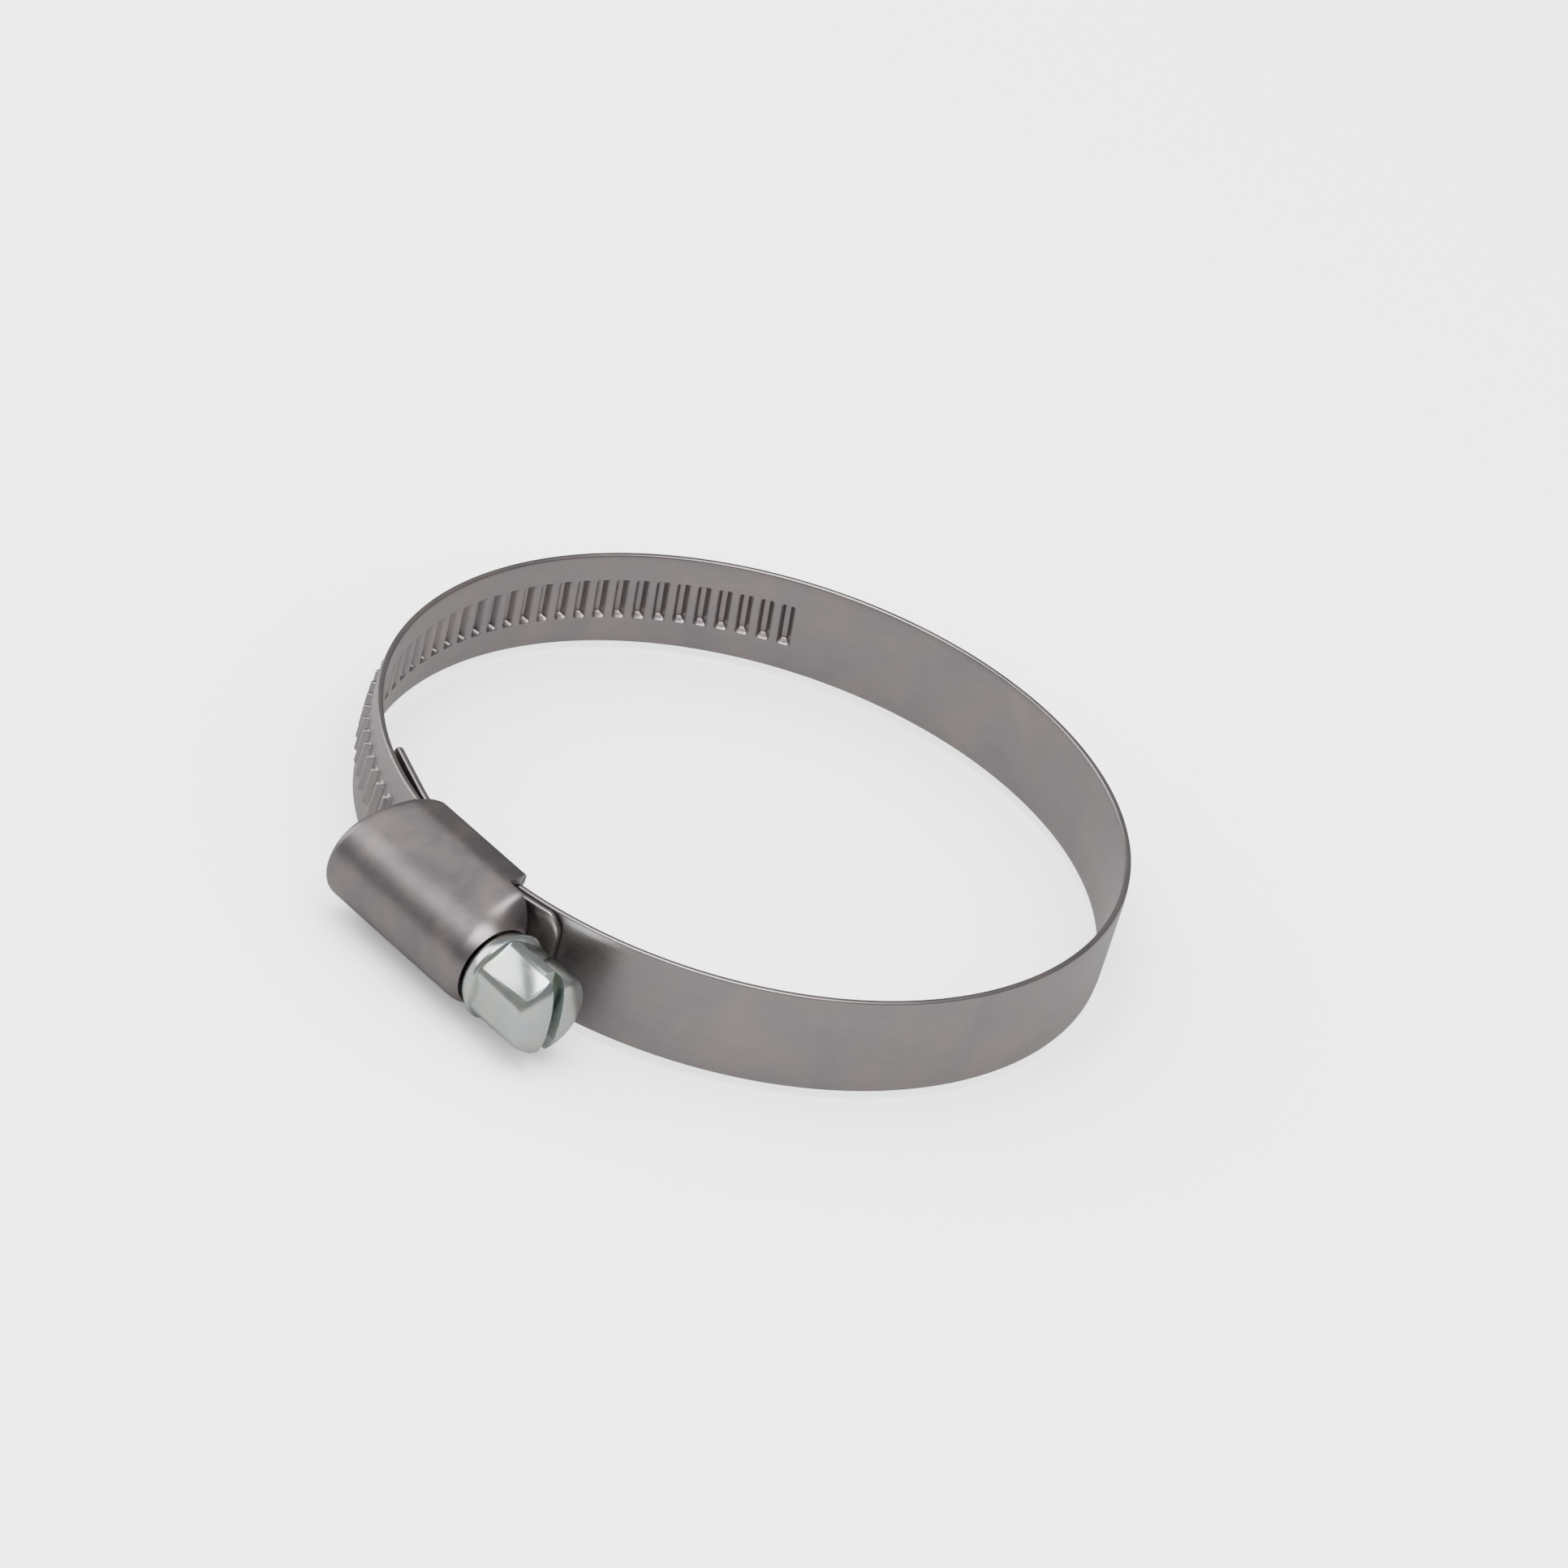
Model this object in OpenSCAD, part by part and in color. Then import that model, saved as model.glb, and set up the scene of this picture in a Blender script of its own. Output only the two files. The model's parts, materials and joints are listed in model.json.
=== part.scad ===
// Worm-drive hose clamp with a toothed band, a folded sheet housing and a hex-head screw.
// The origin is the centre of the clamped hose, at the middle of the band's width.
// +Z runs along the hose, the housing sits at -Y and the screw points along +X.

/* [Band] */
// Diameter that the clamp closes round, as it is set
clamp_d = 63; // [52:0.5:76]
// Width of the band
band_w = 9; // [7.5:0.5:12]
// Thickness of the band
band_t = 0.65; // [0.5:0.05:0.8]
// Radius of the corners at the band's two ends
tip_r = 1.8; // [0.5:0.1:3]
// Free tail beyond the middle of the housing, along the band
tail_len = 10.2; // [9:0.2:12]
// Fixed end beyond the middle of the housing, along the band
lap_len = 15.1; // [12:0.2:16]

/* [Teeth] */
// Teeth in a full turn of the band
teeth_per_turn = 108; // [100:4:120]
// How far each pressed tooth stands out of the band
tooth_h = 0.5; // [0.35:0.05:0.55]
// Width of a tooth where it leaves the band
tooth_foot = 0.95; // [0.8:0.05:1.1]
// Width of a tooth at its crest
tooth_crest = 0.5; // [0.3:0.05:0.6]
// Length of a tooth across the band
tooth_len = 3.9; // [3:0.1:5]
// Depth of the pocket behind each tooth
pocket_depth = 0.75; // [0.3:0.05:0.8]

/* [Housing] */
// Sheet thickness of the housing
sheet_t = 0.7; // [0.5:0.05:0.9]
// Barrel's plain end, measured back from the middle of the housing
barrel_back = 8.2; // [8:0.1:9]
// Barrel's screw end, measured forward from the middle of the housing
barrel_front = 8.5; // [8:0.1:9]
// Side walls' plain end at the band, back from the middle
wall_back = 6.4; // [5:0.1:7]
// Side walls' screw end at the band, forward from the middle
wall_front = 5; // [4:0.1:5.8]
// How far the side walls' edges stay outside the band's inner face
fold_step = 0.4; // [0.35:0.01:0.5]
// How far each folded tab reaches in over the band
tab_reach = 1.5; // [1:0.1:2]

/* [Screw] */
// Radius over the worm thread
thread_r = 3; // [2.6:0.1:3.6]
// Width of the worm thread at its crest
thread_crest = 0.45; // [0.3:0.05:0.5]
// Width of the worm thread at its foot
thread_foot = 0.85; // [0.6:0.05:0.9]
// Step in from the thread to the neck that turns in the housing's lip
neck_step = 0.6; // [0.5:0.05:0.9]
// Step in from the thread to the pin at the screw's blind end
pin_step = 1; // [0.8:0.1:1.4]
// Size of the hexagon across its flats
hex_af = 7; // [6:0.1:8.5]
// Length of the hexagon
hex_len = 6.4; // [4:0.1:8]
// Height of the domed end above the hexagon
dome_h = 0.6; // [0.3:0.1:1]
// Width of the driver slot
slot_w = 1.1; // [0.8:0.1:1.5]
// Depth of the driver slot
slot_depth = 1.8; // [1:0.1:2.5]
// Angle at which the screw rests, from the hose's direction
screw_turn = 4; // [0:1:30]

/* [Fits] */
// Gap between the fixed band and the toothed band where they overlap
lap_gap = 0.18; // [0.15:0.01:0.3]
// Gap between the toothed band and the crest of the worm thread
worm_gap = 0.1; // [0.08:0.01:0.2]
// Gap between the worm's core and the crests of the teeth
root_gap = 0.15; // [0.1:0.01:0.3]
// Gap between the worm thread and the barrel round it
barrel_gap = 0.4; // [0.2:0.05:0.6]
// Gap between the band's edges and the housing's side walls
side_gap = 0.1; // [0.05:0.01:0.2]
// Room left round the moving band in the housing
pass_gap = 0.12; // [0.08:0.01:0.2]
// Radial clearance of the screw's neck and pin
turn_gap = 0.06; // [0.02:0.01:0.1]
// Gap between neighbouring lengths of the band
link_gap = 0.03; // [0.02:0.01:0.05]

/* [Hidden] */
$fn = 96;
over = 0.01;

// The band starts on a circle of radius r1 and, over its toothed half, follows a slightly
// larger circle, so that it passes outside its own fixed end at the housing.
r1 = clamp_d / 2;
lap = band_t + lap_gap;
r2 = r1 + lap / 2;
centre2 = -lap / 2;
tooth_step = 360 / teeth_per_turn;

// The band flexes. It is made of rigid lengths, each eleven teeth long, between its two ends.
links = 8;
teeth_per_link = 11;
link_turn = teeth_per_link * tooth_step;
housing_at = 270;
first_joint = housing_at + 4 * tooth_step;
last_joint = first_joint + links * link_turn;
crown = 450;
trim = link_gap / r1 * 90 / PI;
tail_end = housing_at + tail_len / r2 * 180 / PI;
lap_end = housing_at - lap_len / r1 * 180 / PI;
last_tooth = 2.5;
teeth_from = housing_at + 220;

// The worm's pitch is the spacing of the teeth where the thread meets them.
mesh_r = r2 + band_t + tooth_h / 2;
pitch = mesh_r * tooth_step * PI / 180;
core_r = thread_r + worm_gap - tooth_h - root_gap;
lead = atan(pitch / (PI * (core_r + thread_r)));
axis_r = r2 + band_t + worm_gap + thread_r;
screw_y = centre2 - axis_r;
thread_steps = 20;
thread_root = core_r - 0.2;

// Stations along the screw, from its blind end to its head.
lip_t = 0.9;
lip_at = 1.3;
end_gap = 0.1;
shoulder_len = 1.2;
back_lip = sheet_t;
front_lip = wall_front + lip_at;
thread_from = -barrel_back + back_lip + end_gap;
shoulder_from = front_lip - end_gap - shoulder_len;
stem_from = front_lip + lip_t + end_gap;
collar_from = barrel_front + 0.25;
collar_len = 1.45;

// Radius that stays clear of the moving band's teeth, at a station along the screw.
crest_r = r2 + band_t + tooth_h;
function room(x) = axis_r - sqrt(pow(crest_r, 2) - pow(x, 2)) - pass_gap;

// Radii along the screw, and the room that the barrel leaves for them.
bore_r = thread_r + barrel_gap;
barrel_r = bore_r + sheet_t;
mouth_r = bore_r + 0.1;
neck_r = thread_r - neck_step;
pin_r = thread_r - pin_step;
shoulder_r = min(thread_r - 0.15, room(shoulder_from));
stem_r = min(mouth_r - 0.25, room(stem_from));
hex_r = hex_af / sqrt(3);
hex_round = hex_r - 0.12;
collar_r2 = hex_r - 0.04;
collar_r1 = min(collar_r2 - 0.35, room(collar_from));

// The hexagon starts where the band has curved far enough away from its corners.
clear_from = sqrt(pow(crest_r, 2) - pow(axis_r - pass_gap - hex_round, 2));
hex_from = max(collar_from + collar_len, clear_from);
head_end = hex_from + hex_len;

// The housing's section, seen along the screw.
wall_in = band_w / 2 + side_gap;
wall_out = wall_in + sheet_t;
fold_r = r1 + fold_step;
fold_y = -sqrt(fold_r * fold_r - wall_back * wall_back);
shoulder_y = centre2 - r2 - band_t - pass_gap;
notch_step = 0.3;
cut_size = 2 * (barrel_back + barrel_front);

function link_name(i) = str("band_link_", i < 10 ? "0" : "", i);

// Place along +X with the screw's axis as the X axis.
module on_screw(x) {
    translate([x, screw_y, 0]) rotate([0, 90, 0]) children();
}

// A length of band on a circle, from one angle to another.
module band_arc(r, y, from, to) {
    translate([0, y, 0]) rotate([0, 0, from])
        rotate_extrude(angle = to - from, $fn = 180)
            translate([r, -band_w / 2]) square([band_t, band_w]);
}

// A slanted bar across the band, whose section is a trapezium. It lies in step with the worm.
module slanted_bar(at, r, height, foot, crest, length) {
    translate([0, centre2, 0]) rotate([0, 0, at])
        translate([r, 0, 0]) rotate([-lead, 0, 0])
            linear_extrude(height = length, center = true)
                polygon([[-over, -foot / 2], [height, -crest / 2], [height, crest / 2], [-over, foot / 2]]);
}

// Teeth are pressed out of the band: a ridge outside and a pocket inside.
module pressed_teeth(angles) {
    difference() {
        union() {
            children();
            for (a = angles)
                slanted_bar(a, r2 + band_t - 0.05, tooth_h + 0.05, tooth_foot, tooth_crest, tooth_len);
        }
        for (a = angles)
            slanted_bar(a, r2 - 0.05, pocket_depth + 0.05, tooth_foot - 0.1, tooth_crest - 0.1, tooth_len - 0.6);
    }
}

// Cuts both corners off a band's end, leaving them round.
module round_tip(r, y, at, side, tip) {
    translate([0, y, 0]) rotate([0, 0, at])
        for (z = [-1, 1])
            difference() {
                translate([r - 1, side < 0 ? -tip : -over, z > 0 ? band_w / 2 - tip : -band_w / 2 - over])
                    cube([band_t + 2, tip + over, tip + over]);
                translate([r - 2, side < 0 ? -tip : tip, z * (band_w / 2 - tip)])
                    rotate([0, 90, 0]) cylinder(r = tip, h = band_t + 4);
            }
}

// Angle round the second circle of the point that lies at an angle on the first one.
function turn2(a) = 360 + atan2(r1 * sin(a) - centre2, r1 * cos(a));

module band_link(i) {
    from = first_joint + (i - 1) * link_turn;
    to = from + link_turn;
    angles = [for (k = [0.5:teeth_per_link]) from + k * tooth_step];
    color("lightgray") pressed_teeth([for (a = angles) if (a > teeth_from) a])
        if (to < crown) band_arc(r1, 0, from + trim, to - trim);
        else band_arc(r2, centre2, (from < crown ? turn2(from) : from) + trim, to - trim);
}

// Fixed end: runs through the housing's fold, where it is narrowed to lie between the tabs.
module fixed_end() {
    neck = wall_in - tab_reach - side_gap;
    color("lightgray") difference() {
        band_arc(r1, 0, lap_end, first_joint - trim);
        for (z = [-1, 1])
            translate([-wall_back - side_gap, -r1 - 2, z > 0 ? neck : -neck - band_w])
                cube([wall_back + wall_front + 2 * side_gap, 4, band_w]);
        round_tip(r1, 0, lap_end, 1, tip_r / 3);
    }
}

// Toothed end: runs between the fixed end and the worm, and ends in the free tail.
module toothed_end() {
    from = last_joint - 360;
    color("lightgray") difference() {
        pressed_teeth([for (a = [from + tooth_step / 2:tooth_step:housing_at + last_tooth * tooth_step]) a])
            band_arc(r2, centre2, from + trim, tail_end);
        round_tip(r2, centre2, tail_end, -1, tip_r);
    }
}

// Outline of the housing: a barrel, sloping shoulders and two flat walls.
module housing_outline(r, half, y_in) {
    slope = shoulder_y - screw_y;
    reach = sqrt(slope * slope + half * half);
    touch = atan2(half, slope) + acos(r / reach);
    translate([screw_y, 0]) circle(r = r);
    polygon([
        [screw_y + r * cos(touch), r * sin(touch)], [shoulder_y, half], [y_in, half],
        [y_in, -half], [shoulder_y, -half], [screw_y + r * cos(touch), -r * sin(touch)]
    ]);
}

// A prism along the screw of an outline drawn in Y and Z.
module along_screw(from, to) {
    translate([from, 0, 0]) rotate([90, 0, 90]) linear_extrude(height = to - from) children();
}

// The way of the toothed band through the housing, teeth and all.
module band_way() {
    translate([0, centre2, 0]) {
        difference() {
            cylinder(r = r2 + band_t + pass_gap, h = 2 * wall_in, center = true);
            cylinder(r = r2 - pass_gap, h = 3 * wall_in, center = true);
        }
        difference() {
            cylinder(r = r2 + band_t + tooth_h + pass_gap, h = tooth_len + 0.5, center = true);
            cylinder(r = r2, h = tooth_len + 1, center = true);
        }
    }
}

// Tabs folded in from both walls, over the edges of the narrowed fixed band.
module tabs() {
    intersection() {
        difference() {
            cylinder(r = r1 + band_t, h = 2 * wall_out - sheet_t, center = true, $fn = 180);
            cylinder(r = r1, h = 3 * wall_out, center = true, $fn = 180);
            cube([4 * r1, 4 * r1, 2 * (wall_in - tab_reach)], center = true);
        }
        translate([-wall_back, -r1 - 2, -wall_out]) cube([wall_back + wall_front, 4, 2 * wall_out]);
    }
}

module housing() {
    lean = atan((barrel_back - wall_back) / (fold_y - screw_y + barrel_r));
    color("gray") {
        difference() {
            union() {
                along_screw(-barrel_back, wall_front) housing_outline(barrel_r, wall_out, fold_y);
                on_screw(wall_front - over) cylinder(r = barrel_r, h = barrel_front - wall_front);
            }
            along_screw(-barrel_back + back_lip, wall_front + over)
                housing_outline(bore_r, wall_in, fold_y + over);
            translate([-cut_size / 2, shoulder_y, -wall_in]) cube([cut_size, cut_size, 2 * wall_in]);
            on_screw(-barrel_back - over) cylinder(r = pin_r + turn_gap, h = barrel_back);
            on_screw(0) cylinder(r = bore_r, h = front_lip);
            on_screw(0) cylinder(r = neck_r + turn_gap, h = barrel_front + 1);
            on_screw(front_lip + lip_t) cylinder(r = mouth_r, h = barrel_front);
            translate([-wall_back, fold_y, 0]) rotate([0, 0, -lean])
                translate([-cut_size, -cut_size / 2, -cut_size / 2]) cube(cut_size);
            translate([wall_front, shoulder_y - notch_step, -cut_size / 2]) cube(cut_size);
            cylinder(r = fold_r, h = 3 * wall_out, center = true, $fn = 180);
            band_way();
        }
        tabs();
    }
}

// One ring of the worm thread's section at a turn of a degrees.
function thread_ring(a) = [
    for (p = [[thread_root, -1, thread_foot], [thread_r, -1, thread_crest],
              [thread_r, 1, thread_crest], [thread_root, 1, thread_foot]])
        [pitch * a / 360 + p[1] * p[2] / 2, p[0] * cos(a), p[0] * sin(a)]
];

// Worm thread: a right-hand helix whose ridges lie midway between the band's teeth.
module worm_thread(from, to) {
    n = floor((to - from) / pitch * thread_steps);
    a0 = from / pitch * 360;
    rings = [for (i = [0:n]) thread_ring(a0 + i * 360 / thread_steps)];
    sides = [for (i = [0:n - 1], k = [0:3]) [4 * i + k, 4 * i + (k + 1) % 4, 4 * i + 4 + (k + 1) % 4, 4 * i + 4 + k]];
    caps = [[3, 2, 1, 0], [for (k = [0:3]) 4 * n + k]];
    polyhedron(points = [for (r = rings) each r], faces = concat(sides, caps));
}

module screw() {
    color("gainsboro") difference() {
        union() {
            translate([0, screw_y, 0]) worm_thread(thread_from + thread_foot, shoulder_from - thread_foot / 2);
            on_screw(-barrel_back) cylinder(r = pin_r, h = thread_from + barrel_back + over);
            on_screw(thread_from) cylinder(r = core_r, h = shoulder_from - thread_from + over);
            on_screw(shoulder_from) cylinder(r = shoulder_r, h = shoulder_len);
            on_screw(shoulder_from) cylinder(r = neck_r, h = stem_from - shoulder_from + over);
            on_screw(stem_from) cylinder(r = stem_r, h = collar_from - stem_from + over);
            on_screw(collar_from) cylinder(r1 = collar_r1, r2 = collar_r2, h = hex_from - collar_from);
            intersection() {
                translate([hex_from - over, screw_y, 0]) rotate([screw_turn, 0, 0]) rotate([0, 90, 0])
                    rotate([0, 0, 30]) cylinder(r = hex_r, h = hex_len + over, $fn = 6);
                on_screw(hex_from - 1) union() {
                    cylinder(r = hex_round, h = hex_len + 1 - dome_h);
                    translate([0, 0, hex_len + 1 - dome_h - over])
                        cylinder(r1 = hex_round, r2 = hex_round - 2.4 * dome_h, h = dome_h + over);
                }
            }
        }
        translate([head_end - slot_depth, screw_y, 0]) rotate([screw_turn, 0, 0])
            translate([0, -slot_w / 2, -hex_af]) cube([slot_depth + 1, slot_w, 2 * hex_af]);
    }
}

housing();
screw();
fixed_end();
toothed_end();
for (i = [1:links]) {
    band_link(i);
}
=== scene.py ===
import json
import math

import bmesh
import bpy
from bpy.props import FloatProperty, FloatVectorProperty, IntProperty, PointerProperty
from mathutils import Matrix, Vector


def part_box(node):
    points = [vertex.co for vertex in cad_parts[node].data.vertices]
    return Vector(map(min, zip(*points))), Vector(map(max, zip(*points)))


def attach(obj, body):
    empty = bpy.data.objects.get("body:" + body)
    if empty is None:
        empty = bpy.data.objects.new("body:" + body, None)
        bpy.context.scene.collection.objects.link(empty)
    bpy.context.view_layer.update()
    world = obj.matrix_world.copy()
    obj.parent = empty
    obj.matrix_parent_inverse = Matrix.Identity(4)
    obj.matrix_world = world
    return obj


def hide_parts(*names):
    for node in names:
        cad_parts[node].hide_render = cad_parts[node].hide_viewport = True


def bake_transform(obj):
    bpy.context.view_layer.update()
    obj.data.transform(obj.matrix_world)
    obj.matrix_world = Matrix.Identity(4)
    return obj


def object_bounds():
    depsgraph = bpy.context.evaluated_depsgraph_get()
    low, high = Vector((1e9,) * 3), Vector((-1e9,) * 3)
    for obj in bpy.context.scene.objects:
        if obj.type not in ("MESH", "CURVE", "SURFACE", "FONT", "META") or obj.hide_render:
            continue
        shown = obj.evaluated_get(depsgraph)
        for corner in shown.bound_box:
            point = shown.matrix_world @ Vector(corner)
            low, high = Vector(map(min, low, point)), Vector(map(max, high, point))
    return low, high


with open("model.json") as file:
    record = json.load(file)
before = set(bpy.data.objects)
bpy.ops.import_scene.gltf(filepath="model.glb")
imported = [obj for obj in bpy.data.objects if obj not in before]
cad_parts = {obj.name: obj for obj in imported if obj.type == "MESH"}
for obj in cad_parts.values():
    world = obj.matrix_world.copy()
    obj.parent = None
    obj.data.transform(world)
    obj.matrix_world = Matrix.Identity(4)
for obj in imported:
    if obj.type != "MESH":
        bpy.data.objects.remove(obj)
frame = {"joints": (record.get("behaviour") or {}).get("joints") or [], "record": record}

bl_info = {
    "name": "Hose Clamp",
    "version": (1, 0, 0),
    "blender": (4, 5, 0),
    "location": "View3D > Sidebar > Hose Clamp",
    "description": "Models a worm-drive hose clamp round its packed frame",
    "category": "Add Mesh",
}

# ---------------------------------------------------------------------------------------------
# Facts from the frame. Lengths are in metres and angles in radians.
# ---------------------------------------------------------------------------------------------

MM = 0.001
TURN = 2 * math.pi
CAD_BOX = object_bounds()

JOINTS = {joint["name"]: joint for joint in frame["joints"]}
FLEX = sorted(name for name in JOINTS if name.startswith("band_flex"))
CHAIN = ["root"] + [JOINTS[name]["child"] for name in FLEX]
HINGES = [Vector(JOINTS[name]["pos_m"]) for name in FLEX]

SEAT = next(mount["dims"] for mount in frame["record"]["mounts"] if mount["name"] == "hose_seat")
LOOP_R = SEAT["r_mm"] * MM
BAND_W = SEAT["length_mm"] * MM
BAND_T = -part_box("fixed_end")[0].y - LOOP_R
SCREW_Y = JOINTS["screw_turn"]["pos_m"][1]


def half_lap():
    """How far the toothed half's circle is larger, and lower, than the plain half's."""
    mid = LOOP_R + BAND_T / 2
    last = HINGES[-1]
    return (last.x ** 2 + last.y ** 2 - mid ** 2) / (2 * (mid - last.y))


HALF_LAP = half_lap()
OUTER_R = LOOP_R + HALF_LAP
OUTER_CENTRE = Vector((0, -HALF_LAP, 0))


def angle_of(point, centre=Vector()):
    """Angle of a point about a centre, from 0 to a whole turn."""
    return math.atan2(point.y - centre.y, point.x - centre.x) % TURN


FIRST_HINGE = angle_of(HINGES[0])
LAST_HINGE = angle_of(HINGES[-1], OUTER_CENTRE)
LINK = (LAST_HINGE + TURN - FIRST_HINGE) / (len(HINGES) - 1)
HOUSING_AT = 0.75 * TURN
CROWN = 1.25 * TURN         # the top of the loop, where the two circles touch
LAP_END = HOUSING_AT + math.asin(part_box("fixed_end")[0].x / (LOOP_R + BAND_T))
TAIL_END = HOUSING_AT + math.asin(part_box("toothed_end")[1].x / (OUTER_R + BAND_T))

# ---------------------------------------------------------------------------------------------
# Sizes and colours that a user would change
# ---------------------------------------------------------------------------------------------


def length(name, description, mm):
    """A length property, given in millimetres."""
    return FloatProperty(
        name=name, description=description, default=mm * MM, min=0, precision=5,
        subtype="DISTANCE", unit="LENGTH",
    )


def angle(name, description, degrees):
    """An angle property, given in degrees."""
    return FloatProperty(
        name=name, description=description, default=math.radians(degrees), subtype="ANGLE", unit="ROTATION"
    )


def colour(name, description, value):
    """A colour property without alpha."""
    return FloatVectorProperty(
        name=name, description=description, default=value, size=3, min=0, max=1, subtype="COLOR"
    )


class BandSizes(bpy.types.PropertyGroup):
    edge_round: length("Edge rounding", "Radius of the strip's four long edges", 0.2)
    edge_roll: length("Edge roll", "Width along each edge where the strip thins a little", 0.75)
    edge_fall: length("Edge fall", "How much each face falls away at the edge", 0.045)
    teeth_per_link: IntProperty(name="Teeth per length", description="Teeth between two hinges", default=11)
    tooth_height: length("Tooth height", "How far a pressed tooth stands out", 0.5)
    pocket_depth: length("Pocket depth", "How far the inside is pressed in behind a tooth", 0.68)
    tooth_foot: length("Tooth foot", "Width of a tooth at its foot", 0.95)
    tooth_crest: length("Tooth crest", "Width of a tooth at its crest", 0.3)
    pocket_spread: length("Pocket spread", "How much wider a pocket is than its tooth", 0.4)
    pocket_floor: length("Pocket floor", "Width of a pocket at its deepest", 0.3)
    tooth_length: length("Tooth length", "Length of a tooth across the strip", 3.9)
    tooth_end: length("Tooth end slope", "Length of the slope at each end of a tooth", 0.3)
    tooth_lean: angle("Tooth lean", "Lean of the teeth, in step with the worm", 6.4)
    first_tooth: angle("First tooth", "First tooth, before the middle of the housing", 138.3333)
    last_tooth: angle("Last tooth", "Last tooth, past the middle of the housing", 9)
    tip_radius: length("Tongue corners", "Radius of the corners at the free end", 1.8)
    lap_radius: length("Fixed end corners", "Radius of the corners at the fixed end", 0.6)
    neck_half: length("Neck", "Half width of the fixed end between the folded tabs", 3)
    lap_bend: angle("Fixed end bend", "How far the fixed end turns inwards past the fold", 9)


class HousingSizes(bpy.types.PropertyGroup):
    sheet: length("Sheet", "Thickness of the folded sheet", 0.7)
    wall_back: length("Wall, plain end", "Fold's plain end, from the middle", 6.4)
    wall_front: length("Wall, screw end", "Wall's screw end, from the middle", 5)
    fold_radius: length("Fold", "Middle radius of the fold over the band's edge", 0.4)
    fold_proud: length("Fold height", "How far the fold stands inside the band", 1.1)
    tab_reach: length("Tab reach", "How far a tab reaches in over the band", 1.5)
    lip_radius: length("Lip", "Radius of the sheet's middle at the screw's lip", 3.35)
    lip_length: length("Lip length", "Length over which the barrel's screw end curves in", 1.3)
    hole: length("End hole", "Radius of the sheet's middle round the blind end", 2.45)


class ScrewSizes(bpy.types.PropertyGroup):
    across_flats: length("Across flats", "Size of the hexagon across its flats", 7)
    corner: length("Corner rounding", "Rounding of the hexagon's corners", 0.8)
    dome: length("Dome", "Height of the domed end", 1.3)
    slot_width: length("Slot width", "Width of the driver slot", 1.15)
    slot_depth: length("Slot depth", "Depth of the driver slot", 1.8)
    rest_angle: angle("Rest angle", "Turn of the slot from the hose's direction", 4)
    collar_length: length("Collar length", "Length of the conical collar", 1.45)
    collar_back: length("Collar radius, back", "Radius of the collar at the housing", 3.45)
    hex_length: length("Hexagon length", "Length of the hexagon", 6.4)
    thread_radius: length("Thread radius", "Radius over the worm thread", 3)
    core_radius: length("Core radius", "Radius of the worm's core", 2.45)
    thread_crest: length("Thread crest", "Width of the thread at its crest", 0.45)
    thread_foot: length("Thread foot", "Width of the thread at its foot", 0.85)


class Finishes(bpy.types.PropertyGroup):
    band: colour("Band", "Rolled stainless strip", (0.33, 0.303, 0.303))
    housing: colour("Housing", "Pressed stainless sheet", (0.25, 0.23, 0.228))
    screw: colour("Screw", "Bright zinc plate", (0.62, 0.65, 0.655))
    floor: FloatProperty(name="Floor", description="Brightness of the plain pale floor", default=0.95)
    floor_reflected: FloatProperty(
        name="Floor in reflections", description="Brightness in the metals", default=0.22
    )


class ClampSettings(bpy.types.PropertyGroup):
    band: PointerProperty(name="Band", description="Sizes of the band", type=BandSizes)
    housing: PointerProperty(name="Housing", description="Sizes of the housing", type=HousingSizes)
    screw: PointerProperty(name="Screw", description="Sizes of the screw", type=ScrewSizes)
    finishes: PointerProperty(name="Finishes", description="Colours", type=Finishes)


# ---------------------------------------------------------------------------------------------
# Modelling helpers
# ---------------------------------------------------------------------------------------------

MERGE_DISTANCE = 0.002 * MM
LATHE_STEPS = 96


def clear_selection():
    """Deselects every object, so that an operator acts only on what is added next."""
    bpy.ops.object.select_all(action="DESELECT")


def select_only(obj):
    """Makes one object the only selected and the active one."""
    clear_selection()
    obj.select_set(True)
    bpy.context.view_layer.objects.active = obj


def start_line(name, point):
    """Adds a mesh of one point and leaves it open in edit mode, selected."""
    clear_selection()
    bpy.ops.mesh.primitive_plane_add(size=MM)
    obj = bpy.context.object
    obj.name = name
    obj.data.name = name
    bpy.ops.object.mode_set(mode="EDIT")
    bpy.ops.mesh.select_all(action="SELECT")
    bpy.ops.mesh.merge(type="CENTER")
    bpy.ops.transform.translate(value=point)
    return obj


def draw(points):
    """Extrudes the selected point from place to place."""
    for here, there in zip(points, points[1:]):
        bpy.ops.mesh.extrude_region_move(TRANSFORM_OT_translate={"value": Vector(there) - Vector(here)})


def draw_line(name, points, closed=False):
    """Draws a line through points, closed or open, and selects it all."""
    obj = start_line(name, points[0])
    draw(points)
    if closed:
        bpy.ops.mesh.select_all(action="DESELECT")
        mesh = bmesh.from_edit_mesh(obj.data)
        mesh.verts.ensure_lookup_table()
        mesh.verts[0].select = mesh.verts[-1].select = True
        bpy.ops.mesh.edge_face_add()
    bpy.ops.mesh.select_all(action="SELECT")
    return obj


def spin(steps, turn, centre=(0, 0, 0), axis=(0, 0, 1)):
    """Spins the selected line on about an axis; a positive turn is anticlockwise."""
    bpy.ops.mesh.spin(steps=steps, angle=-turn, center=centre, axis=axis)


def close_solid():
    """Merges doubles, fills the open ends and turns every face outwards; leaves edit mode."""
    bpy.ops.mesh.select_all(action="SELECT")
    bpy.ops.mesh.remove_doubles(threshold=MERGE_DISTANCE)
    bpy.ops.mesh.fill_holes(sides=0)
    bpy.ops.mesh.normals_make_consistent(inside=False)
    bpy.ops.object.mode_set(mode="OBJECT")


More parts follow.
